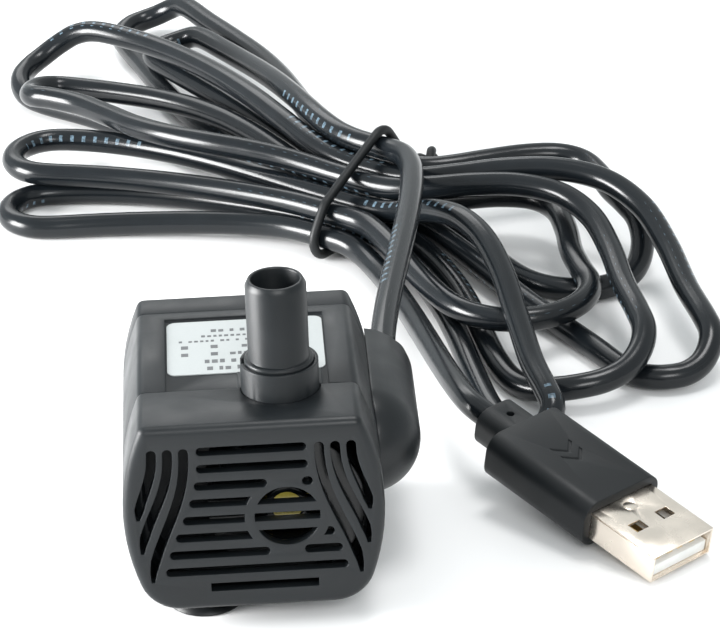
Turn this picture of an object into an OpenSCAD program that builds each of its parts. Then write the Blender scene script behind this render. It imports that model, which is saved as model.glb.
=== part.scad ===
// Fountain submersible pump, 5 V, with a hanked cable and a USB-A plug.
// Slotted intake cover, magnet-drive impeller, potted stator, push-in outlet nozzle.
// Millimetres. The origin is on the resting plane, under the middle of the body.
// +X is the right side, +Y the rear, +Z up. The intake faces -Y.

/* [View] */
// Sub-part to show, or "all" for the whole pump

/* [Body] */
// Widest width of the body
body_width = 36.2; // [30:0.1:44]
// Height of the body, underside to top
body_height = 28.8; // [24:0.1:36]
// Length of the body, intake face to rear face
body_length = 41.5; // [34:0.1:52]
// Height of the underside above the resting plane
foot_height = 3.4; // [1:0.1:6]
// Wall of the shell and the covers
wall = 1.5; // [1:0.1:2.2]
// Depth of the slotted front cover
strainer_depth = 11.2; // [8:0.1:13]
// Depth of the plain rear cover
rear_depth = 5.7; // [4:0.1:8]
// Radius of the two upper corners of the outline
top_radius = 1.3; // [0.8:0.1:3]
// Radius of the two lower corners of the outline
bottom_radius = 6; // [3:0.1:8]
// Radius of the bulged sides
side_radius = 33.3; // [28:0.1:60]
// Rounding of the front and rear edges
edge_round = 1.2; // [0.4:0.1:1.4]
// Visible gap at the two cover seams
seam_gap = 0.15; // [0.05:0.01:0.3]

/* [Intake slots] */
// Height of one slot
slot_height = 1.32; // [0.8:0.01:1.8]
// Pitch of the slot rows
slot_pitch = 2.67; // [2:0.01:3.5]
// Clear radius of the round intake window
window_radius = 4.55; // [3:0.05:6]
// Outer radius of the rim around the window
window_rim = 5.92; // [4:0.01:7.5]
// Width of the curved side slots
rib_slot = 1.36; // [0.8:0.01:1.8]

/* [Pump] */
// Sideways offset of the impeller and outlet axis
axis_x = 4.55; // [0:0.05:6]
// Height of the impeller axis above the underside
axis_v = 14.3; // [12:0.1:17]
// Bore radius of the pump chamber
chamber_radius = 9.6; // [8:0.1:10.5]
// Radius of the impeller
impeller_radius = 7.6; // [6:0.1:8.5]
// Number of impeller vanes
vanes = 6; // [3:1:8]
// Radius of the ceramic shaft
shaft_radius = 1.0; // [0.75:0.05:1.5]
// Radial running clearance of the rotor on the shaft
shaft_gap = 0.05; // [0.02:0.01:0.1]
// Radius of the rotor magnet
magnet_radius = 4.55; // [3.5:0.05:4.8]

/* [Outlet] */
// Outer radius of the nozzle
nozzle_radius = 4.25; // [3.5:0.05:5]
// Bore radius of the nozzle
nozzle_bore = 3.35; // [2.5:0.05:4]
// Height of the nozzle above the top of the body
nozzle_rise = 16.5; // [10:0.1:30]
// Outer radius of the collar on the housing
collar_radius = 5.45; // [4.8:0.05:6.5]
// Height of the collar above the top of the body
collar_rise = 4.1; // [2:0.1:7]

/* [Cable] */
// Diameter of the round cable
cable_d = 3.9; // [3:0.1:4]
// Diameter of one inner lead
lead_d = 1.0; // [0.6:0.1:1.1]
// Sides of the modelled cable section
cable_sides = 10; // [6:1:12]

/* [Hank] */
// Place of the tie on the resting plane
tie_at = [20.2, 105.8];
// Heading of the tie's plane, degrees from +X
tie_heading = 49.9; // [45:0.1:55]
// Thickness of the wire tie round the hank
tie_d = 1.6; // [1:0.1:1.7]
// Length of the two free ends of the tie
tie_ends = 9; // [4:1:14]
// Sideways pitch of the passes through the tie
pass_pitch = 4.6; // [4.5:0.1:4.8]
// Height between two rows of passes
pass_rise = 3.4; // [3.3:0.1:4]
// Straight length of each pass on either side of the tie
tie_straight = 5; // [3:1:6]
// How strongly a leg keeps its direction at the tie and at the tip
leg_pull = [0.5, 1.1];
// How strongly the cable keeps its direction at the housing and at the tie
feed_pull = [0.6, 0.37];
// How strongly it keeps its direction at the tie and at the plug
tail_pull = [0.45, 0.28];
// Sections in one leg of a bight
leg_steps = 9; // [7:1:12]
// Sections in the round tip of a bight
tip_steps = 8; // [6:1:12]

/* [Cable housing] */
// Radius of the half-round cable housing
pod_radius = 8; // [6:0.1:10]
// Wall of the cable housing
pod_wall = 1.6; // [1:0.1:2.5]
// Sideways place of its axis
pod_x = 16.4; // [14:0.1:19]
// Height of its axis above the resting plane
pod_z = 17; // [12:0.1:22]
// Rear face of the cable housing
pod_rear = 21.5; // [18:0.1:26]

/* [Plug] */
// Width of the metal plug shell
shell_width = 12; // [11.9:0.05:12.1]
// Height of the metal plug shell
shell_height = 4.5; // [4.4:0.05:4.6]
// Bare length of the metal plug shell
shell_length = 12.6; // [11.75:0.05:16]
// Sheet thickness of the metal plug shell
shell_sheet = 0.32; // [0.2:0.01:0.4]
// Width of the moulded grip
grip_width = 15; // [13:0.1:18]
// Thickness of the moulded grip
grip_height = 7.6; // [6:0.1:9]
// Length of the moulded grip
grip_length = 20.5; // [16:0.1:28]
// Place of the plug mouth on the resting plane
plug_at = [60.3, -11.4, 2.6];
// Heading of the plug, degrees from +X
plug_heading = -50.9; // [-90:0.1:0]
// Nose-down pitch of the plug, degrees
plug_pitch = 11; // [0:0.1:20]

/* [Suction cups] */
// Rim radius of one cup
cup_radius = 5.4; // [4:0.1:7]
// Sideways place of the cup stems
cup_x = 7.4; // [5:0.1:9]
// Lengthwise place of the cup stems
cup_y = 11.4; // [10.5:0.1:12]

/* [Label] */
// Width of the label
label_width = 22.2; // [18:0.1:22.5]
// Length of the label
label_length = 16.6; // [12:0.1:20]
// Depth of the pocket round the label
label_pocket = 0.35; // [0.1:0.05:0.6]

/* [Hidden] */
e = 0.01;
gap = 0.05;
front_y = -body_length / 2;
back_y = body_length / 2;
seam_y = front_y + strainer_depth;
rear_y = back_y - rear_depth;
top_z = foot_height + body_height;
axis_z = foot_height + axis_v;
side_cx = body_width / 2 - side_radius;
side_v = 15;
face_y = front_y + 1.6;
inlet_radius = 4.9;
cover_front = face_y + 1.25;
cover_back = cover_front + 1.45;
floor_y = seam_y + 3;
spigot_y = seam_y - 4;
can_radius = 5.2;
can_wall = 0.9;
can_end = 9.2;
rotor_front = cover_back + 2.2;
rotor_back = 7.4;
core_y = 0.9;
core_half = 3.5;
yoke_x = -10.7;
board_y = 11.6;
wire_y = 10.6;
wire_z = 18.6;
collar_z = top_z + collar_rise;
nozzle_z = top_z + nozzle_rise;
seat_z = top_z - 2.6;
exit_x = 20.1;
exit_z = 19.2;
tie_z = cable_d / 2 + tie_d + 0.35;
shell_inset = 6;
stub_length = 6;
pocket_half = 11.35;
pocket_rear = 13.05;
label_y = 3.9;
black = [0.13, 0.14, 0.15];
charcoal = [0.2, 0.21, 0.22];
rubber = [0.06, 0.06, 0.07];
steel = [0.75, 0.73, 0.7];

// ---- outline of the body in its X-height plane, drawn inset by i ----

function arc(c, r, a0, a1, n) =
  [for (k = [0 : n]) c + r * [cos(a0 + (a1 - a0) * k / n), sin(a0 + (a1 - a0) * k / n)]];

function corner_x(i, r, v) =
  side_cx + sqrt(pow(side_radius - i - r, 2) - pow(v - side_v, 2));

function half_outline(i, rt, rb) =
  let (vt = body_height - i - rt, vb = i + rb)
  let (xt = corner_x(i, rt, vt), xb = corner_x(i, rb, vb))
  let (at = atan2(vt - side_v, xt - side_cx), ab = atan2(vb - side_v, xb - side_cx))
  concat(
    arc([xt, vt], rt, 90, at, 5),
    arc([side_cx, side_v], side_radius - i, at - 3.5, ab + 3, 11),
    arc([xb, vb], rb, ab, -90, 8)
  );

module outline(i = 0) {
  rt = max(top_radius - i, 0.4);
  rb = max(bottom_radius - i, 1);
  right = half_outline(i, rt, rb);
  n = len(right);
  polygon(concat(right, [for (k = [n - 1 : -1 : 0]) [-right[k][0], right[k][1]]]));
}

module prism(y0, y1, i = 0) {
  translate([0, y1, foot_height])
    rotate([90, 0, 0])
      linear_extrude(y1 - y0) outline(i);
}

// Prism with its far edge rounded; dir is -1 for the front end, +1 for the rear end.
module domed(y0, y1, dir) {
  hull() {
    for (a = [0 : 22.5 : 90]) {
      inset = edge_round * (1 - cos(a));
      back = edge_round * (1 - sin(a));
      if (dir < 0) prism(y0 + back, y1, inset);
      else prism(y0, y1 - back, inset);
    }
  }
}

module rod(x, z, y0, y1, r, n = 48) {
  translate([x, y1, z])
    rotate([90, 0, 0])
      cylinder(r = r, h = y1 - y0, $fn = n);
}

module tube(x, z, y0, y1, ro, ri, n = 64) {
  difference() {
    rod(x, z, y0, y1, ro, n);
    rod(x, z, y0 - 1, y1 + 1, ri, n);
  }
}

// ---- swept tubes ----

function unit(v) = v / norm(v);

function bspline(p, k, t) =
  (pow(1 - t, 3) * p[k] + (3 * pow(t, 3) - 6 * t * t + 4) * p[k + 1]
    + (-3 * pow(t, 3) + 3 * t * t + 3 * t + 1) * p[k + 2] + pow(t, 3) * p[k + 3]) / 6;

function smooth_line(p, steps) = concat(
  [for (k = [0 : len(p) - 4], j = [0 : steps - 1]) bspline(p, k, j / steps)],
  [bspline(p, len(p) - 4, 1)]
);

function tangents(p) =
  let (n = len(p) - 1)
  [for (k = [0 : n]) unit(p[min(k + 1, n)] - p[max(k - 1, 0)])];

function carried(u, t) = unit(u - (u * t) * t);

function normals(t) =
  [for (k = 0, u = carried([0.02, 0.05, 1], t[0]); k < len(t);
    k = k + 1, u = k < len(t) ? carried(u, t[k]) : u) u];

module sweep(line, r, sides) {
  t = tangents(line);
  u = normals(t);
  n = len(line);
  rings = [for (k = [0 : n - 1], s = [0 : sides - 1])
    line[k] + r * (cos(360 * s / sides) * u[k] + sin(360 * s / sides) * cross(t[k], u[k]))];
  points = concat(rings, [line[0], line[n - 1]]);
  walls = [for (k = [0 : n - 2], s = [0 : sides - 1], half = [0, 1])
    let (a = k * sides + s, b = k * sides + (s + 1) % sides)
    half == 0 ? [a, a + sides, b] : [b, a + sides, b + sides]];
  near = [for (s = [0 : sides - 1]) [n * sides, s, (s + 1) % sides]];
  last = (n - 1) * sides;
  far = [for (s = [0 : sides - 1]) [n * sides + 1, last + (s + 1) % sides, last + s]];
  polyhedron(points = points, faces = concat(walls, near, far));
}

// ---- intake cover ----

// A side slot runs down from rib_top. Each row gives where it starts and ends sideways, and
// how far down it ends. The straight slots stop short of the innermost one.
ribs = [[9.3, 14.5, 4.8], [11.5, 15.7, 9.4], [13.7, 16, 14.7]];
rib_top = 24.9;
rib_clear = 1.75;

function rib_x(rib, v) =
  let (t = min(1, max(0, (rib_top - v) / (rib_top - rib[2]))), w = pow(t, 1.2))
  rib[0] + (rib[1] - rib[0]) * w * w * (3 - 2 * w);

function row_v(k) = axis_v + (4 - k) * slot_pitch;

function row_tip(k) = rib_x(ribs[0], row_v(k)) - rib_clear;

module bar(x0, x1, v, h) {
  r = h / 2;
  translate([x0 + r, v - r]) square([x1 - x0 - h, h]);
  translate([x0 + r, v]) circle(r = r, $fn = 20);
  translate([x1 - r, v]) circle(r = r, $fn = 20);
}

module curved_bar(rib) {
  n = 12;
  r = rib_slot / 2;
  line = [for (k = [0 : n]) let (v = rib_top + (rib[2] - rib_top) * k / n) [rib_x(rib, v), v]];
  side = [for (k = [0 : n])
    let (d = unit(line[min(k + 1, n)] - line[max(k - 1, 0)]), w = r * min(1, 0.35 + (n - k) * 0.35))
    [line[k] + w * [-d[1], d[0]], line[k] - w * [-d[1], d[0]]]];
  down = unit(line[1] - line[0]);
  turn = atan2(-down[0], down[1]);
  polygon(concat(
    [for (k = [0 : n]) side[k][0]],
    [for (k = [n : -1 : 0]) side[k][1]],
    arc(line[0], r, turn - 30, turn - 150, 4)
  ));
}

module slots() {
  for (k = [0, 1, 7]) bar(-row_tip(k), row_tip(k), row_v(k), slot_height);
  for (k = [2, 6]) {
    bar(-row_tip(k), axis_x - 2.6, row_v(k), slot_height);
    bar(axis_x + 2.2, max(row_tip(k), axis_x + 3.7), row_v(k), slot_height);
  }
  difference() {
    for (k = [3, 4, 5]) bar(-row_tip(k), row_tip(k), row_v(k), slot_height);
    translate([axis_x, axis_v]) circle(r = window_rim, $fn = 64);
  }
  translate([-6.5, row_v(8) - slot_height / 2]) square([15, slot_height]);
  difference() {
    translate([axis_x, axis_v]) circle(r = window_radius, $fn = 64);
    for (s = [-1, 1])
      translate([0, axis_v + s * slot_pitch / 2 - (slot_pitch - slot_height) / 2])
        square([12, slot_pitch - slot_height]);
  }
  for (rib = ribs) {
    curved_bar(rib);
    mirror([1, 0]) curved_bar(rib);
  }
}

module intake_strainer() {
  color(charcoal)
  difference() {
    domed(front_y, seam_y - seam_gap, -1);
    prism(face_y, seam_y + 1, wall);
    translate([0, face_y + 1, foot_height])
      rotate([90, 0, 0])
        linear_extrude(4) slots();
    translate([axis_x, seam_y, axis_z]) cylinder(r = collar_radius + 0.15, h = 30, $fn = 64);
    translate([-cup_x, -cup_y, 0]) cylinder(r = 1.6, h = foot_height + 3, $fn = 32);
    translate([-cup_x - 1.6, -cup_y, 0]) cube([3.2, 6, foot_height + 3]);
  }
}

// ---- pump chamber ----

module chamber_cover() {
  color(black)
  difference() {
    union() {
      tube(axis_x, axis_z, cover_front, cover_back, chamber_radius + 1.3, inlet_radius);
      tube(axis_x, axis_z, face_y + 0.2, cover_front + e, inlet_radius + 0.9, inlet_radius);
      tube(axis_x, axis_z, cover_back - e, cover_back + 1.5, chamber_radius - 0.1, 8);
      rod(axis_x, axis_z, cover_front, cover_back, 3);
      for (a = [90, 210, 330])
        translate([axis_x, cover_front, axis_z])
          rotate([0, -a, 0])
            translate([2, 0, -0.5]) cube([3.4, cover_back - cover_front, 1]);
    }
    rod(axis_x, axis_z, cover_front - 1, cover_back + 1, 2.2);
    tube(axis_x, axis_z, cover_back + 0.3, cover_back + 1.2, chamber_radius + 1, chamber_radius - 0.9);
  }
}

module chamber_seal() {
  color(rubber)
  translate([axis_x, cover_back + 0.75, axis_z])
    rotate([90, 0, 0])
      rotate_extrude($fn = 72)
        translate([chamber_radius - 0.47, 0]) circle(r = 0.42, $fn = 20);
}

module front_bush() {
  color([0.72, 0.63, 0.25])
  tube(axis_x, axis_z, cover_front + 0.1, cover_back, 2.18, shaft_radius + 0.02, 32);
}

module rear_bush() {
  color([0.85, 0.84, 0.8])
  tube(axis_x, axis_z, rotor_back + 0.35, can_end - gap, 2.58, shaft_radius + 0.02, 32);
}

module rotor_shaft() {
  color([0.93, 0.92, 0.88])
  rod(axis_x, axis_z, cover_front + 0.2, can_end - 0.2, shaft_radius, 32);
}

module thrust_washers() {
  color([0.2, 0.45, 0.55])
  for (y = [rotor_front - 0.35, rotor_back + 0.1])
    tube(axis_x, axis_z, y, y + 0.2, 2.1, shaft_radius + e, 32);
}

module impeller() {
  color([0.72, 0.63, 0.25])
  difference() {
    union() {
      rod(axis_x, axis_z, rotor_front, rotor_back, 2);
      rod(axis_x, axis_z, floor_y - 1.5, floor_y - 0.6, impeller_radius, 64);
      rod(axis_x, axis_z, rotor_front, floor_y - 0.6, 2.9);
      for (k = [0 : vanes - 1])
        translate([axis_x, floor_y - 0.7, axis_z])
          rotate([0, k * 360 / vanes, 0])
            translate([2, rotor_front - floor_y + 0.9, -0.45])
              cube([impeller_radius - 2.1, floor_y - rotor_front - 0.9, 0.9]);
    }
    rod(axis_x, axis_z, rotor_front - 1, rotor_back + 1, shaft_radius + shaft_gap);
  }
}

module rotor_magnet() {
  color([0.17, 0.17, 0.19])
  tube(axis_x, axis_z, floor_y - 0.4, rotor_back - 0.8, magnet_radius, 2.02);
}

// ---- housing ----

module housing_body() {
  prism(seam_y, rear_y);
  prism(spigot_y, seam_y + e, wall + gap);
  rod(axis_x, axis_z, cover_back + 0.05, floor_y, chamber_radius + 1.3, 64);
  translate([axis_x, seam_y, axis_z + 6]) cylinder(r = collar_radius, h = collar_z - axis_z - 6, $fn = 64);
}

module housing_hollows() {
  difference() {
    prism(spigot_y - 1, floor_y - e, wall + 1.2);
    rod(axis_x, axis_z, cover_back, floor_y, chamber_radius + 1.3, 64);
    translate([axis_x, seam_y, axis_z + 6]) cylinder(r = collar_radius, h = 30, $fn = 64);
  }
  difference() {
    prism(floor_y + 1.6, rear_y + 1, wall);
    rod(axis_x, axis_z, floor_y, can_end + 1.2, can_radius + can_wall, 64);
  }
  rod(axis_x, axis_z, cover_back - 1, floor_y, chamber_radius, 72);
  difference() {
    rod(axis_x, axis_z, floor_y - 1, can_end, can_radius, 64);
    rod(axis_x, axis_z, rotor_back + 0.35, can_end + 1, 3.6);
  }
  rod(axis_x, axis_z, rotor_back, can_end, 2.6, 32);
}

module outlet_passage() {
  translate([axis_x, seam_y, 0]) {
    translate([0, 0, axis_z + 5]) cylinder(r = nozzle_bore, h = 30, $fn = 48);
    translate([0, 0, seat_z]) cylinder(r = nozzle_radius + 0.1, h = 30, $fn = 64);
    translate([0, 0, collar_z - 2.2]) cylinder(r = 4.95, h = 30, $fn = 64);
    translate([-6, -0.8, collar_z - 1.1]) cube([3, 1.6, 3]);
  }
}

module motor_housing() {
  color(charcoal)
  difference() {
    housing_body();
    housing_hollows();
    outlet_passage();
    translate([-pocket_half, seam_y + collar_radius - 0.6, top_z - label_pocket])
      cube([2 * pocket_half, pocket_rear - seam_y - collar_radius + 0.6, 2]);
    for (s = [-1, 1])
      translate([s > 0 ? axis_x + collar_radius + 0.4 : -pocket_half, seam_y - 1, top_z - label_pocket])
        cube([pocket_half - s * axis_x - collar_radius - 0.4, 8, 2]);
    translate([body_width / 2 - 4, wire_y, wire_z]) rotate([0, 90, 0]) cylinder(r = 1.5, h = 8, $fn = 32);
    for (p = cup_places)
      translate([p[0], p[1], foot_height - 1]) cylinder(r = 1.3, h = p[1] < 0 ? 5 : 2.3, $fn = 32);
  }
}

// ---- motor ----

module stator_core() {
  color([0.45, 0.46, 0.48])
  translate([0, core_y + core_half, axis_z])
    rotate([90, 0, 0])
      linear_extrude(2 * core_half)
        difference() {
          union() {
            translate([yoke_x - 1.9, -9]) square([3.8, 18]);
            for (s = [-1, 1]) {
              translate([yoke_x, s * 7 - 2]) square([22.4, 4]);
              translate([axis_x - 6.4, s * 5.5 - 3.5]) square([13.2, 7]);
            }
          }
          translate([axis_x, 0]) circle(r = can_radius + can_wall + 0.1, $fn = 64);
        }
}

module coil_form(hx, hy, hz) {
  translate([yoke_x - hx, core_y - hy, axis_z - hz]) cube([2 * hx, 2 * hy, 2 * hz]);
}

module stator_bobbin() {
  color([0.9, 0.9, 0.86])
  difference() {
    union() {
      coil_form(2.5, core_half + 0.6, 4.8);
      difference() {
        coil_form(4.5, 5.5, 4.8);
        coil_form(6, 7, 4.1);
      }
    }
    coil_form(1.95, core_half + 0.05, 6);
  }
}

module stator_winding() {
  color([0.72, 0.36, 0.16])
  difference() {
    coil_form(4.1, 5.2, 4.05);
    coil_form(2.55, core_half + 0.65, 6);
  }
}

module driver_board() {
  color([0.05, 0.32, 0.16])
  difference() {
    translate([-12.5, board_y, axis_z - 8.5]) cube([25, 1, 17]);
    rod(-10.5, axis_z - 6.5, board_y - 1, board_y + 2, 1, 24);
    rod(10.5, axis_z + 6.5, board_y - 1, board_y + 2, 1, 24);
  }
}

module hall_sensor() {
  color([0.1, 0.1, 0.1])
  translate([axis_x - 2, board_y - 0.95, axis_z + 1.5]) cube([4, 0.93, 3]);
}

module driver_chip() {
  color([0.1, 0.1, 0.1]) {
    translate([-6, board_y + 1.12, axis_z - 2]) cube([5, 1.4, 4]);
    for (s = [-1, 1], k = [-1.5, -0.5, 0.5, 1.5])
      translate([-3.5 + s * 3 - 0.6, board_y + 1.02, axis_z + k * 1.1 - 0.2]) cube([1.2, 0.5, 0.4]);
  }
}

module capacitor() {
  color([0.15, 0.2, 0.35])
  rod(4, axis_z - 3, board_y + 1.02, board_y + 6, 2.2, 32);
}

module potting_resin() {
  color([0.08, 0.08, 0.08])
  difference() {
    prism(6.8, 9.3, wall + 0.05);
    rod(axis_x, axis_z, 6, 10, can_radius + can_wall + 0.05, 64);
  }
}

module rear_cover() {
  color(charcoal)
  difference() {
    union() {
      domed(rear_y + seam_gap, back_y, 1);
      prism(rear_y - 2.3, rear_y + 1, wall + gap);
    }
    prism(rear_y - 3, back_y - wall, wall + 1.2);
  }
}

// ---- outlet ----

module outlet_nozzle() {
  ro = nozzle_radius;
  ri = nozzle_bore;
  color(charcoal)
  translate([axis_x, seam_y, 0]) {
    rotate_extrude($fn = 72)
      polygon([
        [2.85, seat_z + 0.1], [ro, seat_z + 0.1], [ro, seat_z + 0.7], [3.42, seat_z + 0.7],
        [3.42, seat_z + 1.7], [ro, seat_z + 1.7], [ro, collar_z - 2.1], [4.85, collar_z - 2.1],
        [4.85, collar_z + 0.35], [4.6, collar_z + 0.6], [ro, collar_z + 0.6], [ro, nozzle_z - 0.9],
        [ro - 0.45, nozzle_z], [ri + 0.1, nozzle_z], [ri, nozzle_z - 0.2], [ri, seat_z + 3],
        [2.85, seat_z + 2.2]
      ]);
    translate([-4.8, -0.6, collar_z + 0.1]) cube([0.7, 1.2, 0.45]);
  }
}

module nozzle_seal() {
  color(rubber)
  translate([axis_x, seam_y, seat_z + 1.2])
    rotate_extrude($fn = 64)
      translate([3.88, 0]) circle(r = 0.44, $fn = 20);
}

// ---- cable housing ----

module pod(r, y0, y1) {
  rod(pod_x, pod_z, y0, y1, r, 64);
  translate([pod_x, y0, pod_z]) sphere(r = r, $fn = 64);
}

module cable_housing() {
  nose = pod_rear - 19;
  color(black)
  difference() {
    pod(pod_radius, nose, pod_rear);
    pod(pod_radius - pod_wall, nose, pod_rear - pod_wall);
    prism(front_y - 5, back_y + 5, -0.03);
    translate([pod_x - 20, nose - 20, pod_z - 20]) cube([15, 60, 40]);
    rod(exit_x, exit_z, pod_rear - 5, pod_rear + 5, 3);
  }
}

module cable_gland() {
  color(rubber)
  difference() {
    union() {
      rod(exit_x, exit_z, pod_rear - pod_wall, pod_rear + 1, 2.96);
      rod(exit_x, exit_z, pod_rear + 0.02, pod_rear + 1, 3.6);
    }
    prism(front_y, back_y + 5, -gap);
    rod(exit_x, exit_z, pod_rear - 5, pod_rear + 5, cable_d / 2 + 0.02);
  }
}

// ---- cable ----

// The hank lies round the tie. Its own axes are a, across the tie; b, along the passes;
// and z. Twelve passes run through the tie, and eleven bights join them in turn,
// the even ones behind the tie and the odd ones in front.

// Column and row of each pass in the tie, in the order in which the cable makes them
passes = [
  [1.5, 3], [2, 0], [2, 2], [1, 0], [1, 2], [0, 0],
  [0, 2], [0.5, 1], [-1.5, 1], [-0.5, 1], [-1, 0], [-2, 0]
];

// One row for each bight: its tip [a, b], the lean of its axis in degrees, its width,
// the heights [start, middle, end] of its tip, the sideways bows of its legs [out, back],
// the rise of its legs [out, back], and +1 if it leaves on its +a side
bights = [
  [[37, 72.5], 20, 10, [8, 6, 6], [0, 0], [2, 1.5], 1],
  [[7, -49], -11, 22, [2, 2, 9], [1, 11], [0, 1], -1],
  [[50, 89], 30, 13, [7, 3, 2], [5, -3], [0, 0], 1],
  [[-16, -76], -28, 15, [2, 2.5, 7], [-2, 13.5], [0, 6], -1],
  [[19, 90.5], -6, 18, [9.8, 4, 2], [-1, 0], [2, 0], 1],
  [[-28, -69], -30, 22, [2, 4.5, 9], [3, 12.5], [0, 4], -1],
  [[5, 77], -20, 11, [9, 7.5, 6.3], [-9, 2], [2, 1], -1],
  [[-17, -52], -24, 24, [6.6, 6.6, 6.6], [13, 0], [1, 0], 1],
  [[-16, 63], -30, 15, [6, 6, 6], [0, 0], [0, 0], -1],
  [[-44.5, -68], -30, 7.4, [6, 3, 2], [6, 3], [8, 0], 1],
  [[-28, 54], -42, 14, [2, 2, 2], [0, 0], [0, 0], 1]
];

function on_hank(a, b, z) =
  [tie_at[0] + a * cos(tie_heading) - b * sin(tie_heading),
   tie_at[1] + a * sin(tie_heading) + b * cos(tie_heading), z];

function pass_a(k) = passes[k][0] * pass_pitch;

function pass_z(k) = tie_z + passes[k][1] * pass_rise;

function ease(t) = t * t * (3 - 2 * t);

function blend(p, q, u, v, t) =
  (2 * pow(t, 3) - 3 * t * t + 1) * p + (pow(t, 3) - 2 * t * t + t) * u
  + (3 * t * t - 2 * pow(t, 3)) * q + (pow(t, 3) - t * t) * v;

// Leg from p, heading u, to q, heading v; side is 1 if it starts at the tie, -1 if it ends there.
function leg(p, q, u, v, z, bow, rise, side) =
  let (reach = norm(q - p), start = leg_pull[side > 0 ? 0 : 1], finish = leg_pull[side > 0 ? 1 : 0])
  [for (k = [1 : leg_steps - 1])
    let (t = k / leg_steps, w = side > 0 ? t : 1 - t)
    let (g = blend(p, q, u * reach * start, v * reach * finish, t))
    on_hank(g[0] + bow * pow(sin(180 * pow(w, 1.3)), 2), g[1],
      z[0] + (z[1] - z[0]) * ease(t) + rise * pow(sin(180 * t), 2))];

function tip_z(z, t) =
  t < 0.5 ? z[0] + (z[1] - z[0]) * ease(2 * t) : z[1] + (z[2] - z[1]) * ease(2 * t - 1);

function bight(k) =
  let (row = bights[k], way = k % 2 == 0 ? 1 : -1)
  let (head = [sin(row[1]), way * cos(row[1])], out = [0, way])
  let (across = row[6] * way * [head[1], -head[0]], centre = row[0] - head * row[2] / 2)
  let (near = [pass_a(k), way * tie_straight], far = [pass_a(k + 1), way * tie_straight])
  let (start = centre + across * row[2] / 2, finish = centre - across * row[2] / 2, z = row[3])
  concat(
    [on_hank(pass_a(k), 0, pass_z(k)), on_hank(near[0], near[1], pass_z(k))],
    leg(near, start, out, head, [pass_z(k), z[0]], row[4][0], row[5][0], 1),
    [for (j = [0 : tip_steps])
      let (t = j / tip_steps)
      let (p = centre + row[2] / 2 * (cos(180 * t) * across + sin(180 * t) * head))
      on_hank(p[0], p[1], tip_z(z, t))],
    leg(finish, far, -head, -out, [z[2], pass_z(k + 1)], row[4][1], row[5][1], -1),
    [on_hank(far[0], far[1], pass_z(k + 1))]
  );

along_hank = [-sin(tie_heading), cos(tie_heading), 0];
along_plug = [cos(plug_heading) * cos(plug_pitch), sin(plug_heading) * cos(plug_pitch), -sin(plug_pitch)];

function on_plug(x) = plug_at + x * along_plug;

// Free run of cable from p, heading u, to q, heading v, without its last point
function run(p, q, u, v, pull, n) =
  let (reach = norm(q - p))
  [for (k = [0 : n - 1]) blend(p, q, pull[0] * reach * u, pull[1] * reach * v, k / n)];

// From the housing up to the tie, through all the bights, and from the tie to the plug
function cable_route() =
  let (last = len(bights), leave = pod_rear + 2)
  let (tie_in = on_hank(pass_a(0), -2.5, pass_z(0) + 0.5))
  let (tie_out = on_hank(pass_a(last), -tie_straight, pass_z(last)))
  concat(
    [for (y = [leave - 12 : 3 : leave - 3]) [exit_x, y, exit_z]],
    run([exit_x, leave, exit_z], tie_in, [0, 1, 0.1], along_hank - [0, 0, 0.12], feed_pull, 10),
    [for (k = [0 : last - 1]) each bight(k)],
    [on_hank(pass_a(last), 0, pass_z(last))],
    run(tie_out, on_plug(-43), -along_hank - [0, 0, 0.35], along_plug, tail_pull, 12),
    [for (x = [-43 : 2 : -29]) on_plug(x)]
  );

module power_cable() {
  color(black) sweep(smooth_line(cable_route(), 1), cable_d / 2, cable_sides);
}

module lead(z) {
  line = smooth_line([
    [exit_x + 0.6, 16, z + 0.6], [exit_x + 0.3, 12, z + 0.5], [19.6, 10.8, z + 0.1], [18.2, wire_y, z],
    [16, wire_y, z], [14, wire_y, z], [12.4, wire_y, z], [11.4, wire_y, z], [10, wire_y, z]
  ], 4);
  sweep(line, lead_d / 2, 8);
}

module red_lead() {
  color([0.7, 0.08, 0.06]) lead(wire_z + 0.62);
}

module black_lead() {
  color([0.05, 0.05, 0.05]) lead(wire_z - 0.62);
}

// The tie is a belt round the outer passes of the pile, listed in turn. It is drawn in its
// own plane [a, z]; its two free ends are twisted together on the +a side.
outer = [2, 0, 8, 11, 1];
belt_radius = cable_d / 2 + tie_d / 2 + 0.3;
twist_radius = tie_d / 2 + 0.05;
twist_pitch = 7;

function outer_at(k) = let (pass = outer[k]) [pass_a(pass), pass_z(pass)];

// Direction of the outward normal of the belt's straight from corner k to the next one
function outward(k) = let (d = outer_at(k + 1) - outer_at(k)) (atan2(-d[0], d[1]) + 360) % 360;

function belt_corner(k, from, to) = arc(outer_at(k), belt_radius, from, to, max(2, ceil((to - from) / 20)));

function belt() =
  let (last = len(outer) - 1)
  concat(
    belt_corner(0, 0, outward(0)),
    [for (k = [1 : last - 1]) each belt_corner(k, outward(k - 1), outward(k))],
    belt_corner(last, outward(last - 1), 360)
  );

function twisted_end(start, side) =
  [for (k = [0 : 9])
    let (x = tie_ends * k / 9, turn = 360 * x / twist_pitch)
    start + [x, side * twist_radius * sin(turn), side * twist_radius * cos(turn)]];

module cable_tie() {
  right = outer_at(0)[0] + belt_radius;
  middle = (outer_at(0)[1] + outer_at(len(outer) - 1)[1]) / 2;
  upper = twisted_end([right + 1.6, 0, middle], 1);
  lower = twisted_end([right + 1.6, 0, middle], -1);
  line = concat(
    [for (k = [len(upper) - 1 : -1 : 0]) upper[k]],
    [[right + 0.1, 0, middle + 2]],
    [for (p = belt()) [p[0], 0, p[1]]],
    [[right + 0.1, 0, middle - 2]],
    lower
  );
  color(rubber)
  translate([tie_at[0], tie_at[1], 0])
    rotate([0, 0, tie_heading])
      sweep(smooth_line(line, 2), tie_d / 2, 8);
}

// ---- plug, drawn pointing +X with its mouth at the origin ----

module plug_frame() {
  translate(plug_at) rotate([0, 0, plug_heading]) rotate([0, plug_pitch, 0]) children();
}

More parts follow.
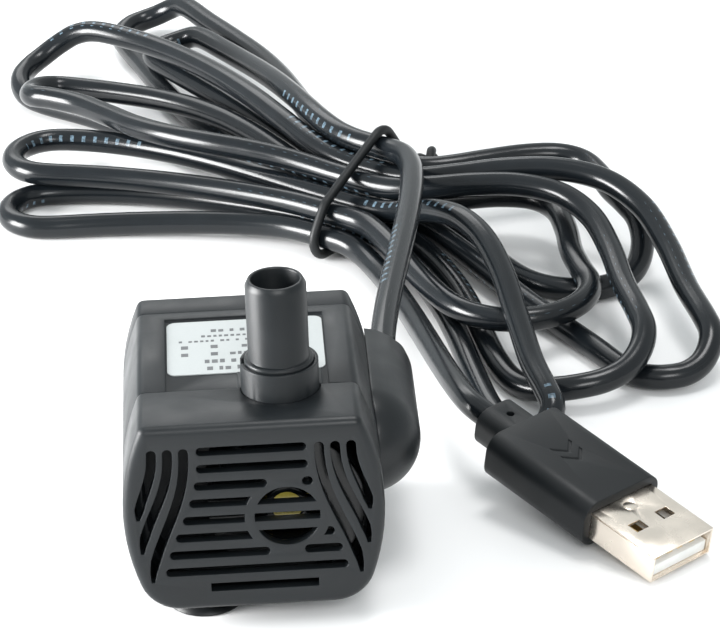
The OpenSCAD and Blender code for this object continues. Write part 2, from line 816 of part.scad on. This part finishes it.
module rounded_bar(length, width, height, r) {
  translate([0, -width / 2 + r, -height / 2]) cube([length, width - 2 * r, height]);
  translate([0, -width / 2, -height / 2 + r]) cube([length, width, height - 2 * r]);
  for (y = [-1, 1], z = [-1, 1])
    translate([0, y * (width / 2 - r), z * (height / 2 - r)])
      rotate([0, 90, 0]) cylinder(r = r, h = length, $fn = 40);
}

module chevron(x) {
  translate([x, 0])
    polygon([[0, 0], [-1.9, 2], [-1.2, 2], [0.7, 0], [-1.2, -2], [-1.9, -2]]);
}

module plug_grip() {
  color(rubber)
  plug_frame()
  translate([-shell_length - grip_length, 0, 0])
    difference() {
      union() {
        rounded_bar(grip_length, grip_width, grip_height, 2.6);
        translate([-stub_length, 0, 0]) rounded_bar(stub_length + 1, 7.8, 6.2, 2.4);
      }
      translate([-stub_length - 1, 0, 0]) rotate([0, 90, 0]) cylinder(r = cable_d / 2 + 0.12, h = 12, $fn = 32);
      translate([grip_length - shell_inset - gap, -shell_width / 2 - gap, -shell_height / 2 - gap])
        cube([shell_inset + 1, shell_width + 2 * gap, shell_height + 2 * gap]);
      translate([3 - stub_length, 0, 2]) cylinder(r = 0.6, h = 3, $fn = 24);
      translate([0, 0, grip_height / 2 - 0.2])
        linear_extrude(1) {
          chevron(9);
          chevron(11.2);
        }
    }
}

module plug_shell() {
  color(steel)
  plug_frame()
  difference() {
    translate([-shell_length - shell_inset, -shell_width / 2, -shell_height / 2])
      cube([shell_length + shell_inset, shell_width, shell_height]);
    translate([-shell_length - shell_inset - 1, shell_sheet - shell_width / 2, shell_sheet - shell_height / 2])
      cube([shell_length + shell_inset + 2, shell_width - 2 * shell_sheet, shell_height - 2 * shell_sheet]);
    for (y = [-2.7, 2.7]) translate([-7.6, y - 1.15, -5]) cube([2, 2.3, 10]);
    translate([-10.7, -0.3, shell_height / 2 - 0.08])
      difference() {
        cylinder(r = 1.1, h = 1, $fn = 32);
        translate([0, 0, -1]) cylinder(r = 0.85, h = 3, $fn = 32);
      }
    translate([-shell_length - shell_inset - 1, -shell_width / 2 - 1, shell_height / 2 - 0.42])
      cube([shell_length + shell_inset + 2, 1.12, 0.12]);
  }
}

module plug_insulator() {
  color([0.95, 0.95, 0.93])
  plug_frame()
  translate([-shell_length - 4, -5.5, -1.85]) cube([shell_length + 3.4, 11, 1.8]);
}

module plug_contacts() {
  color([0.83, 0.68, 0.35])
  plug_frame()
  for (y = [-3.5, -1, 1, 3.5])
    translate([-9, y - 0.5, -0.03]) cube([7.5, 1, 0.2]);
}

// ---- cups and label ----

cup_places = [[-cup_x, -cup_y], [-cup_x, cup_y], [cup_x, cup_y]];

module suction_cups() {
  color(rubber)
  for (p = cup_places)
    translate([p[0], p[1], 0])
      rotate_extrude($fn = 48)
        polygon([
          [0, 1.1], [2.5, 1], [4.4, 0.5], [cup_radius - 0.2, 0], [cup_radius, 0.15],
          [4.6, 1], [3.4, 1.7], [2.1, 2.2], [1.9, foot_height - 0.02], [1.28, foot_height - 0.02],
          [1.28, foot_height + (p[1] < 0 ? 2.6 : 1.2)], [0, foot_height + (p[1] < 0 ? 2.6 : 1.2)]
        ]);
}

module rating_label() {
  r = 1.3;
  color([0.95, 0.95, 0.94])
  translate([0, label_y, top_z - label_pocket + e])
    linear_extrude(0.14) {
      square([label_width - 2 * r, label_length], center = true);
      square([label_width, label_length - 2 * r], center = true);
      for (x = [-1, 1], y = [-1, 1])
        translate([x * (label_width / 2 - r), y * (label_length / 2 - r)]) circle(r = r, $fn = 32);
    }
}

intake_strainer();
chamber_cover();
chamber_seal();
front_bush();
rear_bush();
rotor_shaft();
thrust_washers();
impeller();
rotor_magnet();
motor_housing();
stator_core();
stator_bobbin();
stator_winding();
driver_board();
hall_sensor();
driver_chip();
capacitor();
potting_resin();
rear_cover();
outlet_nozzle();
nozzle_seal();
cable_housing();
cable_gland();
power_cable();
red_lead();
black_lead();
cable_tie();
plug_grip();
plug_shell();
plug_insulator();
plug_contacts();
suction_cups();
rating_label();
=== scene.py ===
"""Looks of the fountain submersible pump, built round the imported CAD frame. Metres."""
import math

import bmesh
import bpy
import numpy as np
from mathutils import Matrix, Vector


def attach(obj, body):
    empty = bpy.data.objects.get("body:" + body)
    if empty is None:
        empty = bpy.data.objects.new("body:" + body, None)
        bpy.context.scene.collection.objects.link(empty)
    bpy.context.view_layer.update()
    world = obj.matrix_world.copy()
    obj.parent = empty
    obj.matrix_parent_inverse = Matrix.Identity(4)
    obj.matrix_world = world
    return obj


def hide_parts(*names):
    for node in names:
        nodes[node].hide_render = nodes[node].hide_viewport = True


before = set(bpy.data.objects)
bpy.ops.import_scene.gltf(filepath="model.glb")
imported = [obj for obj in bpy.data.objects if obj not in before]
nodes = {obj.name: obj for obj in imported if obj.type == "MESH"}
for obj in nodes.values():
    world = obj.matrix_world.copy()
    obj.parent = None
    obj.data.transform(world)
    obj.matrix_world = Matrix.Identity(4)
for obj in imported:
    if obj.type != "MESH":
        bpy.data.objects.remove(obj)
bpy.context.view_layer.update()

MM = 0.001
CABLE_RADIUS = 1.95 * MM
CABLE_SIDES = 28
CABLE_STEP = 0.6 * MM
TIE_RADIUS = 0.8 * MM
TIE_SIDES = 16
TIE_STEP = 0.4 * MM
SMOOTH_BELOW = 32  # degrees between faces, for smooth shading
FLAT_BELOW = 0.8  # degrees between faces that count as one flat face
BEVEL_ABOVE = 35  # degrees between faces, for a bevelled edge
WELD_DISTANCE = 1e-6
BLACK = (0.0062, 0.008, 0.0094)


# ---- node graph helpers ----

class Graph:
    """A short way to add and join the nodes of one material."""

    def __init__(self, name):
        self.material = bpy.data.materials.new(name)
        self.material.use_nodes = True
        self.tree = self.material.node_tree
        self.bsdf = self.tree.nodes["Principled BSDF"]

    def add(self, kind, inputs=None, **settings):
        node = self.tree.nodes.new("ShaderNode" + kind)
        for key, value in settings.items():
            setattr(node, key, value)
        for key, value in (inputs or {}).items():
            self.feed(node.inputs[key], value)
        return node

    def feed(self, socket, value):
        if isinstance(value, bpy.types.NodeSocket):
            self.tree.links.new(value, socket)
        else:
            socket.default_value = value

    def maths(self, operation, a, b=0.0):
        return self.add("Math", {0: a, 1: b}, operation=operation).outputs[0]

    def place(self):
        return self.add("TexCoord").outputs["Object"]

    def noise(self, scale, detail=3.0, vector=None):
        inputs = {"Vector": vector or self.place(), "Scale": scale, "Detail": detail}
        return self.add("TexNoise", inputs).outputs["Fac"]

    def span(self, value, low, high, start=0.3, end=0.7):
        inputs = {"Value": value, "From Min": start, "From Max": end, "To Min": low, "To Max": high}
        return self.add("MapRange", inputs).outputs["Result"]

    def mix(self, share, a, b):
        """Colour b over colour a. Sockets 0, 6 and 7 are the share and the two colours."""
        node = self.add("Mix", data_type="RGBA")
        self.feed(node.inputs[0], share)
        self.feed(node.inputs[6], a)
        self.feed(node.inputs[7], b)
        return node.outputs[2]

    def bump(self, height, distance, strength=1.0, normal=None):
        inputs = {"Height": height, "Distance": distance, "Strength": strength}
        if normal is not None:
            inputs["Normal"] = normal
        return self.add("Bump", inputs).outputs["Normal"]

    def set(self, **inputs):
        """Sets or feeds inputs of the surface; an underscore stands for a space."""
        for key, value in inputs.items():
            self.feed(self.bsdf.inputs[key.replace("_", " ")], value)
        return self.material


def rgba(colour):
    return (*colour, 1.0)


def lighter(colour, factor):
    return tuple(min(1.0, c * factor) for c in colour)


def edge_share(g, radius, gain=5.0):
    """How much the surface bends within a radius: 0 on a flat face, about 1 on a sharp edge.
    Also gives the softened normal."""
    soft = g.add("Bevel", {"Radius": radius}, samples=4).outputs["Normal"]
    flat = g.add("NewGeometry").outputs["Normal"]
    alike = g.add("VectorMath", {0: soft, 1: flat}, operation="DOT_PRODUCT").outputs["Value"]
    return g.maths("MULTIPLY", g.maths("SUBTRACT", 1.0, alike), gain), soft


def moulded(name, colour, rough, grain=2.2e-5, grain_scale=5200, edge_highlight=1.6, spread=0.07):
    """Moulded plastic: fine spark-eroded grain, cloudy sheen, and a painted highlight that makes the
    edges a little lighter.
    The grain is its depth in metres."""
    g = Graph(name)
    cloud = g.noise(160, 4.0)
    fine = g.noise(grain_scale, 2.0)
    edge, soft = edge_share(g, 0.25 * MM)
    tone = g.mix(g.span(cloud, 0.0, 1.0), rgba(lighter(colour, 0.88)), rgba(lighter(colour, 1.14)))
    # painted highlight: the colour is painted lighter on the edges, by the given factor
    overlay = g.mix(edge, tone, rgba(lighter(colour, edge_highlight)))
    return g.set(
        Base_Color=overlay,
        Roughness=g.span(cloud, rough - spread, rough + spread),
        Specular_IOR_Level=0.34,
        Normal=g.bump(fine, grain, 0.6, soft),
    )


def metal(name, colour, rough, brushed=(3000, 240, 3000)):
    """Plated or rolled metal with faint drawing lines and a few finger smudges."""
    g = Graph(name)
    stretched = g.add("Mapping", {"Vector": g.place(), "Scale": brushed}).outputs["Vector"]
    lines = g.noise(1.0, 5.0, stretched)
    smudge = g.noise(220, 4.0)
    tone = g.mix(g.span(smudge, 0, 1), rgba(lighter(colour, 0.93)), rgba(lighter(colour, 1.05)))
    return g.set(
        Base_Color=tone,
        Metallic=1.0,
        Roughness=g.span(smudge, rough * 0.75, rough * 1.4),
        Normal=g.bump(lines, 4e-6, 0.35),
    )


def rubber(name, colour, rough=0.55):
    """Rubber or soft vinyl: the moulded look with finer grain and a weaker painted highlight on the
    edges.
    """
    return moulded(name, colour, rough, grain=1.5e-5, grain_scale=3800, edge_highlight=1.25, spread=0.05)


def cable_jacket():
    """PVC jacket: soft sheen, faint drag marks, and a row of small pale dashes along the print line."""
    base = (0.0045, 0.006, 0.0075)
    ink = (0.2, 0.3, 0.38)
    drag_scale = 60.0
    print_twist = 1.1  # turns of the print line per metre
    print_side = 0.94  # turns from the normal to the middle of the print line
    print_half = 0.045  # half the width of the print line, in turns
    dash_pitch = 2.2 * MM
    dash_share = 0.3
    row_pitch = 74 * MM
    row_start = 0.6
    row_share = 0.34
    g = Graph("cable_jacket")
    along = g.add("Attribute", attribute_name="along").outputs["Fac"]
    around = g.add("Attribute", attribute_name="around").outputs["Fac"]
    cloud = g.noise(240, 4.0)
    stretched = g.add("CombineXYZ", {
        "X": g.maths("MULTIPLY", along, drag_scale),
        "Y": g.maths("MULTIPLY", around, drag_scale),
    }).outputs[0]
    drag = g.noise(1.0, 3.0, stretched)
    turned = g.maths("FRACT", g.maths("ADD", around, g.maths("MULTIPLY", along, print_twist)))
    offset = g.maths("ABSOLUTE", g.maths("SUBTRACT", turned, print_side))
    on_line = g.maths("LESS_THAN", offset, print_half)
    in_dash = g.maths("LESS_THAN", g.maths("FRACT", g.maths("DIVIDE", along, dash_pitch)), dash_share)
    rows = g.maths("ADD", g.maths("DIVIDE", along, row_pitch), row_start)
    in_row = g.maths("LESS_THAN", g.maths("FRACT", rows), row_share)
    printed = g.maths("MULTIPLY", g.maths("MULTIPLY", on_line, in_dash), in_row)
    overlay = g.maths("MULTIPLY", printed, g.span(g.noise(2600, 2.0), 0.1, 0.6))
    tone = g.mix(g.span(cloud, 0, 1), rgba(base), rgba(lighter(base, 1.35)))
    return g.set(
        Base_Color=g.mix(overlay, tone, rgba(ink)),
        Roughness=g.span(drag, 0.17, 0.28),
        Specular_IOR_Level=0.36,
        Normal=g.bump(g.noise(1500, 3.0), 1.6e-5, 0.5),
    )


def paper(name, colour):
    """Coated film or paper with faint fibres."""
    g = Graph(name)
    fibre = g.noise(2600, 5.0)
    tone = g.mix(g.span(g.noise(130, 3.0), 0, 1), rgba(lighter(colour, 0.96)), rgba(colour))
    return g.set(Base_Color=tone, Roughness=g.span(fibre, 0.3, 0.44), Normal=g.bump(fibre, 6e-6, 0.4))


def ceramic(name, colour):
    """Smooth fired ceramic with fine specks."""
    g = Graph(name)
    speck = g.noise(3200, 3.0)
    tone = g.mix(g.span(speck, 0, 1), rgba(lighter(colour, 0.94)), rgba(colour))
    return g.set(Base_Color=tone, Roughness=g.span(speck, 0.18, 0.3), Normal=g.bump(speck, 4e-6, 0.3))


def laminated(name, colour, sheet=0.5 * MM, groove_share=0.14):
    """Stacked steel sheets: fine lines across the stack."""
    g = Graph(name)
    y = g.add("SeparateXYZ", {0: g.place()}).outputs["Y"]
    groove = g.maths("LESS_THAN", g.maths("FRACT", g.maths("DIVIDE", y, sheet)), groove_share)
    tone = g.mix(groove, rgba(colour), rgba(lighter(colour, 0.35)))
    return g.set(Base_Color=tone, Metallic=0.9, Roughness=0.42, Normal=g.bump(groove, -2e-5, 0.8))


def wound(name, colour, wire=0.22 * MM):
    """Enamelled wire laid in close turns, with painted shade in the creases between them."""
    g = Graph(name)
    z = g.add("SeparateXYZ", {0: g.place()}).outputs["Z"]
    turn = g.maths("ABSOLUTE", g.maths("SINE", g.maths("MULTIPLY", z, math.pi / wire)))
    # painted shade: the colour is darker in the creases between turns
    tone = g.mix(turn, rgba(lighter(colour, 0.45)), rgba(colour))
    return g.set(Base_Color=tone, Metallic=0.75, Roughness=0.3, Normal=g.bump(turn, 6e-5, 0.8))


LOOKS = {
    "intake_strainer": moulded("strainer_plastic", lighter(BLACK, 1.1), 0.4),
    "motor_housing": moulded("housing_plastic", lighter(BLACK, 1.1), 0.4),
    "rear_cover": moulded("rear_plastic", lighter(BLACK, 1.1), 0.4),
    "cable_housing": moulded("cable_housing_plastic", BLACK, 0.36),
    "outlet_nozzle": moulded("nozzle_plastic", BLACK, 0.36),
    "chamber_cover": moulded("chamber_plastic", lighter(BLACK, 0.5), 0.2, grain=8e-6),
    "impeller": moulded("impeller_plastic", (0.38, 0.31, 0.05), 0.42, edge_highlight=1.15),
    "stator_bobbin": moulded("bobbin_plastic", (0.72, 0.72, 0.66), 0.45, edge_highlight=1.1),
    "plug_insulator": moulded("insulator_plastic", (0.82, 0.82, 0.8), 0.38, edge_highlight=1.05),
    "hall_sensor": moulded("sensor_epoxy", lighter(BLACK, 0.6), 0.55),
    "driver_chip": moulded("chip_epoxy", lighter(BLACK, 0.6), 0.55),
    "driver_board": moulded("board_mask", (0.02, 0.13, 0.05), 0.35, edge_highlight=1.3),
    "potting_resin": moulded("resin", lighter(BLACK, 0.45), 0.16, grain=1e-5, grain_scale=500),
    "capacitor": moulded("capacitor_sleeve", (0.03, 0.05, 0.12), 0.32),
    "rotor_magnet": moulded("ferrite", (0.035, 0.036, 0.04), 0.5, grain=3e-5),
    "thrust_washers": moulded("washer_polymer", (0.05, 0.2, 0.3), 0.45, edge_highlight=1.1),
    "front_bush": ceramic("front_bush_ceramic", (0.4, 0.33, 0.06)),
    "rear_bush": ceramic("rear_bush_ceramic", (0.78, 0.76, 0.7)),
    "rotor_shaft": ceramic("shaft_ceramic", (0.84, 0.83, 0.78)),
    "stator_core": laminated("lamination_steel", (0.4, 0.41, 0.43)),
    "stator_winding": wound("magnet_wire", (0.62, 0.26, 0.09)),
    "chamber_seal": rubber("chamber_seal_rubber", lighter(BLACK, 0.55)),
    "nozzle_seal": rubber("nozzle_seal_rubber", lighter(BLACK, 0.55)),
    "cable_gland": rubber("gland_rubber", lighter(BLACK, 0.8)),
    "suction_cups": rubber("cup_rubber", lighter(BLACK, 0.6), 0.42),
    "plug_grip": rubber("grip_pvc", lighter(BLACK, 0.8), 0.46),
    "red_lead": moulded("red_insulation", (0.5, 0.02, 0.015), 0.35),
    "black_lead": moulded("black_insulation", lighter(BLACK, 0.6), 0.35),
    "cable_tie": rubber("tie_vinyl", lighter(BLACK, 0.6), 0.5),
    "plug_shell": metal("nickel_plate", (0.9, 0.81, 0.71), 0.24),
    "plug_contacts": metal("gold_plate", (0.9, 0.65, 0.28), 0.22),
    "rating_label": paper("label_film", (0.36, 0.385, 0.385)),
    "label_print": paper("label_ink", (0.06, 0.065, 0.07)),
}


# ---- CAD nodes: soft edges and materials ----

def smooth_group():
    """A modifier group that smooths faces and keeps edges sharper than SMOOTH_BELOW crisp."""
    group = bpy.data.node_groups.new("smooth_by_angle", "GeometryNodeTree")
    group.interface.new_socket("Geometry", in_out="INPUT", socket_type="NodeSocketGeometry")
    group.interface.new_socket("Geometry", in_out="OUTPUT", socket_type="NodeSocketGeometry")
    start = group.nodes.new("NodeGroupInput")
    end = group.nodes.new("NodeGroupOutput")
    faces = group.nodes.new("GeometryNodeSetShadeSmooth")
    edges = group.nodes.new("GeometryNodeSetShadeSmooth")
    edges.domain = "EDGE"
    edges.inputs["Shade Smooth"].default_value = False
    angle = group.nodes.new("GeometryNodeInputMeshEdgeAngle")
    limit = group.nodes.new("FunctionNodeCompare")
    limit.operation = "GREATER_THAN"
    limit.inputs[1].default_value = math.radians(SMOOTH_BELOW)
    link = group.links.new
    link(start.outputs[0], faces.inputs["Geometry"])
    link(faces.outputs[0], edges.inputs["Geometry"])
    link(angle.outputs["Unsigned Angle"], limit.inputs[0])
    link(limit.outputs[0], edges.inputs["Selection"])
    link(edges.outputs[0], end.inputs[0])
    return group


SMOOTH = smooth_group()


def soften(obj, width):
    """Welds a CAD mesh, bevels its edges where a width is given, and shades it smooth by angle."""
    weld = obj.modifiers.new("weld", "WELD")
    weld.merge_threshold = WELD_DISTANCE
    if width:
        flat = obj.modifiers.new("flat", "DECIMATE")
        flat.decimate_type = "DISSOLVE"
        flat.angle_limit = math.radians(FLAT_BELOW)
        bevel = obj.modifiers.new("bevel", "BEVEL")
        bevel.width = width
        bevel.segments = 2
        bevel.limit_method = "ANGLE"
        bevel.angle_limit = math.radians(BEVEL_ABOVE)
        bevel.use_clamp_overlap = True
    shade = obj.modifiers.new("shade", "NODES")
    shade.node_group = SMOOTH


def clear_normals(obj):
    """Drops the stored normals, so that the smoothing and the bevels show."""
    bpy.context.view_layer.objects.active = obj
    obj.select_set(True)
    bpy.ops.mesh.customdata_custom_splitnormals_clear()
    obj.select_set(False)


# Bevel widths in millimetres
EDGES = {
    "motor_housing": 0.22,
    "rear_cover": 0.15,
    "intake_strainer": 0.14,
    "cable_housing": 0.25,
    "outlet_nozzle": 0.1,
    "plug_grip": 0.3,
    "plug_shell": 0.06,
    "plug_insulator": 0.12,
    "chamber_cover": 0.12,
    "impeller": 0.15,
    "suction_cups": 0.1,
    "cable_gland": 0.15,
}

for name, obj in nodes.items():
    clear_normals(obj)
    soften(obj, EDGES.get(name, 0.0) * MM)
    if name in LOOKS:
        obj.data.materials.clear()
        obj.data.materials.append(LOOKS[name])


# ---- swept pieces ----

def centre_line(node):
    """Ring centres of a swept CAD node, found by walking its mesh ring by ring from the middle
    of one end cap: the vertex that is equally far from all its neighbours."""
    mesh = nodes[node].data
    places = np.zeros(len(mesh.vertices) * 3)
    mesh.vertices.foreach_get("co", places)
    unique, index = np.unique(np.round(places.reshape(-1, 3), 7), axis=0, return_inverse=True)
    index = index.ravel()
    near = [set() for _ in unique]
    for edge in mesh.edges:
        a, b = (int(index[v]) for v in edge.vertices)
        if a != b:
            near[a].add(b)
            near[b].add(a)
    spans = [[np.linalg.norm(unique[a] - unique[b]) for b in near[a]] for a in range(len(unique))]
    start = int(np.argmin([max(span) - min(span) for span in spans]))
    seen = {start}
    level = [start]
    rings = []
    while level:
        rings.append(unique[level].mean(axis=0))
        level = sorted({b for a in level for b in near[a]} - seen)
        seen |= set(level)
    return np.array(rings[1:-1])


def resample(points, step):
    """Points about one step apart on a Catmull-Rom curve through the given ones."""
    p = np.vstack([2 * points[0] - points[1], points, 2 * points[-1] - points[-2]])
    out = []
    for k in range(1, len(p) - 2):
        count = max(1, int(round(np.linalg.norm(p[k + 1] - p[k]) / step)))
        for j in range(count):
            t = j / count
            out.append(0.5 * (2 * p[k] + (p[k + 1] - p[k - 1]) * t
                              + (2 * p[k - 1] - 5 * p[k] + 4 * p[k + 1] - p[k + 2]) * t ** 2
                              + (3 * p[k] - p[k - 1] - 3 * p[k + 1] + p[k + 2]) * t ** 3))
    out.append(p[-2])
    return np.array(out)


def sweep(name, line, radius, sides, material, body):
    """A round tube along a line, with its length and turn kept as point attributes."""
    tangent = np.gradient(line, axis=0)
    tangent /= np.linalg.norm(tangent, axis=1)[:, None]
    normal = np.array([0.0, 0.05, 1.0])
    walked = np.r_[0, np.cumsum(np.linalg.norm(np.diff(line, axis=0), axis=1))]
    mesh = bmesh.new()
    rings = []
    for point, direction in zip(line, tangent):
        normal = normal - direction * (normal @ direction)
        normal /= np.linalg.norm(normal)
        side = np.cross(direction, normal)
        ring = []
        for s in range(sides):
            a = 2 * math.pi * s / sides
            ring.append(mesh.verts.new(point + radius * (math.cos(a) * normal + math.sin(a) * side)))
        rings.append(ring)
    for a, b in zip(rings, rings[1:]):
        for s in range(sides):
            t = (s + 1) % sides
            mesh.faces.new((a[s], a[t], b[t], b[s])).smooth = True
    mesh.faces.new(rings[0][::-1])
    mesh.faces.new(rings[-1])
    data = bpy.data.meshes.new(name)
    mesh.to_mesh(data)
    mesh.free()
    along = np.repeat(walked, sides).astype(np.float32)
    around = np.tile(np.arange(sides) / sides, len(line)).astype(np.float32)
    for key, values in (("along", along), ("around", around)):
        data.attributes.new(key, "FLOAT", "POINT").data.foreach_set("value", values)
    data.materials.append(material)
    obj = bpy.data.objects.new(name, data)
    bpy.context.scene.collection.objects.link(obj)
    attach(obj, body)
    return obj


cable_line = resample(centre_line("power_cable"), CABLE_STEP)
cable = sweep("cable_sheath", cable_line, CABLE_RADIUS, CABLE_SIDES, cable_jacket(), "pump")
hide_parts("power_cable")
tie_line = resample(centre_line("cable_tie"), TIE_STEP)
tie = sweep("tie_wire", tie_line, TIE_RADIUS, TIE_SIDES, LOOKS["cable_tie"], "pump")
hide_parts("cable_tie")


# ---- print on the label: plain bars and blocks, no letters ----

def label_print(name):
    """Thin grey bars in rows on the label, and four small squares where the marks would be.
    Its sizes are in millimetres."""
    thickness = 0.04
    tall = 0.7  # bars taller than this are also longer
    short_gap = 0.32
    long_gap = 0.9
    short_share = 0.8
    half_mark = 0.5
    label = nodes["rating_label"]
    corners = [label.matrix_world @ Vector(c) for c in label.bound_box]
    middle = sum(corners, Vector()) / 8
    middle.z = max(c.z for c in corners)
    rng = np.random.default_rng(4)
    mesh = bmesh.new()

    def block(x0, x1, y0, y1):
        box = bmesh.ops.create_cube(mesh, size=1.0)["verts"]
        place = Vector(((x0 + x1) / 2, (y0 + y1) / 2, 0)) * MM + middle
        size = Matrix.Diagonal(((x1 - x0) * MM, (y1 - y0) * MM, thickness * MM, 1.0))
        bmesh.ops.transform(mesh, matrix=Matrix.Translation(place) @ size, verts=box)

    # From the middle of the label: place of the row, height of its bars, left end, right end
    rows = (
        (-6.6, 1.2, -5.5, 4.2),
        (-4.4, 1.2, -5.8, 3.4),
        (-2.2, 0.9, -2.2, 6.4),
        (0.0, 0.9, -0.5, 6.6),
        (2.0, 0.6, -9.4, 6.2),
        (3.5, 0.6, -6.2, 6.2),
        (5.2, 0.9, -4.8, 6.2),
    )
    for y, height, left, right in rows:
        shortest, longest = (0.5, 0.85) if height > tall else (0.35, 0.6)
        x = left
        while x < right:
            length = rng.uniform(shortest, longest)
            block(x, x + length, y - height / 2, y + height / 2 * rng.uniform(0.5, 1.0))
            x += length + (short_gap if rng.random() < short_share else long_gap)
    for x in (-8.6, -4.4):
        for y in (-2.2, 0.1):
            block(x - half_mark, x + half_mark, y - half_mark, y + half_mark)
    data = bpy.data.meshes.new(name)
    mesh.to_mesh(data)
    mesh.free()
    data.materials.append(LOOKS[name])
    obj = bpy.data.objects.new(name, data)
    bpy.context.scene.collection.objects.link(obj)
    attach(obj, "pump")


label_print("label_print")


# ---- floor, light and camera ----

def floor(half=6.0):
    """A plain pale floor under the part, as wide as twice `half`."""
    g = Graph("floor_white")
    g.set(Base_Color=(0.88, 0.88, 0.88, 1.0), Roughness=0.6)
    mesh = bpy.data.meshes.new("floor")
    corners = [(x * half, y * half, 0) for x, y in ((-1, -1), (1, -1), (1, 1), (-1, 1))]
    mesh.from_pydata(corners, [], [(0, 1, 2, 3)])
    mesh.materials.append(g.material)
    obj = bpy.data.objects.new("floor", mesh)
    bpy.context.scene.collection.objects.link(obj)


def softbox(name, place, aim, width, height, power):
    """A rectangular soft light at a place, turned towards a point."""
    light = bpy.data.lights.new(name, "AREA")
    light.shape = "RECTANGLE"
    light.size = width
    light.size_y = height
    light.energy = power
    obj = bpy.data.objects.new(name, light)
    bpy.context.scene.collection.objects.link(obj)
    obj.location = place
    obj.rotation_mode = "QUATERNION"
    obj.rotation_quaternion = (Vector(aim) - Vector(place)).to_track_quat("-Z", "Y")


def daylight(strength):
    """Even, slightly cool light from all round, like a white tent."""
    world = bpy.data.worlds.new("tent")
    world.use_nodes = True
    background = world.node_tree.nodes["Background"]
    background.inputs["Color"].default_value = (0.93, 0.985, 1.0, 1.0)
    background.inputs["Strength"].default_value = strength
    bpy.context.scene.world = world


def camera(aim, distance, heading, above, roll, lens):
    """A camera that looks at a point from a distance; heading, height angle and roll in degrees."""
    h, e, r = (math.radians(a) for a in (heading, above, roll))
    forward = Vector((math.sin(h) * math.cos(e), math.cos(h) * math.cos(e), -math.sin(e)))
    level = Vector((math.cos(h), -math.sin(h), 0))
    upright = level.cross(forward)
    right = math.cos(r) * level + math.sin(r) * upright
    up = -math.sin(r) * level + math.cos(r) * upright
    data = bpy.data.cameras.new("camera")
    data.lens = lens
    data.sensor_width = 36
    data.clip_start = 0.01
    obj = bpy.data.objects.new("camera", data)
    bpy.context.scene.collection.objects.link(obj)
    turn = Matrix((right, up, -forward)).transposed().to_4x4()
    obj.matrix_world = Matrix.Translation(Vector(aim) - forward * distance) @ turn
    bpy.context.scene.camera = obj


floor()
daylight(0.78)
softbox("rear_box", (-0.15, 0.8, 0.5), (0.02, 0.06, 0), 0.5, 0.25, 1.2)
softbox("top_box", (0.12, 0.12, 0.8), (0.02, 0.05, 0), 0.3, 0.2, 2.4)
softbox("left_box", (-0.5, -0.02, 0.14), (0, 0, 0.02), 0.3, 0.25, 9.0)
softbox("front_box", (0.1, -0.6, 0.45), (0.03, 0, 0.01), 0.35, 0.2, 2.2)
camera(aim=(0.0178, 0.0452, 0.015), distance=0.6117, heading=1.91, above=26.24, roll=-2.27, lens=200)
bpy.context.scene.view_settings.view_transform = "Standard"
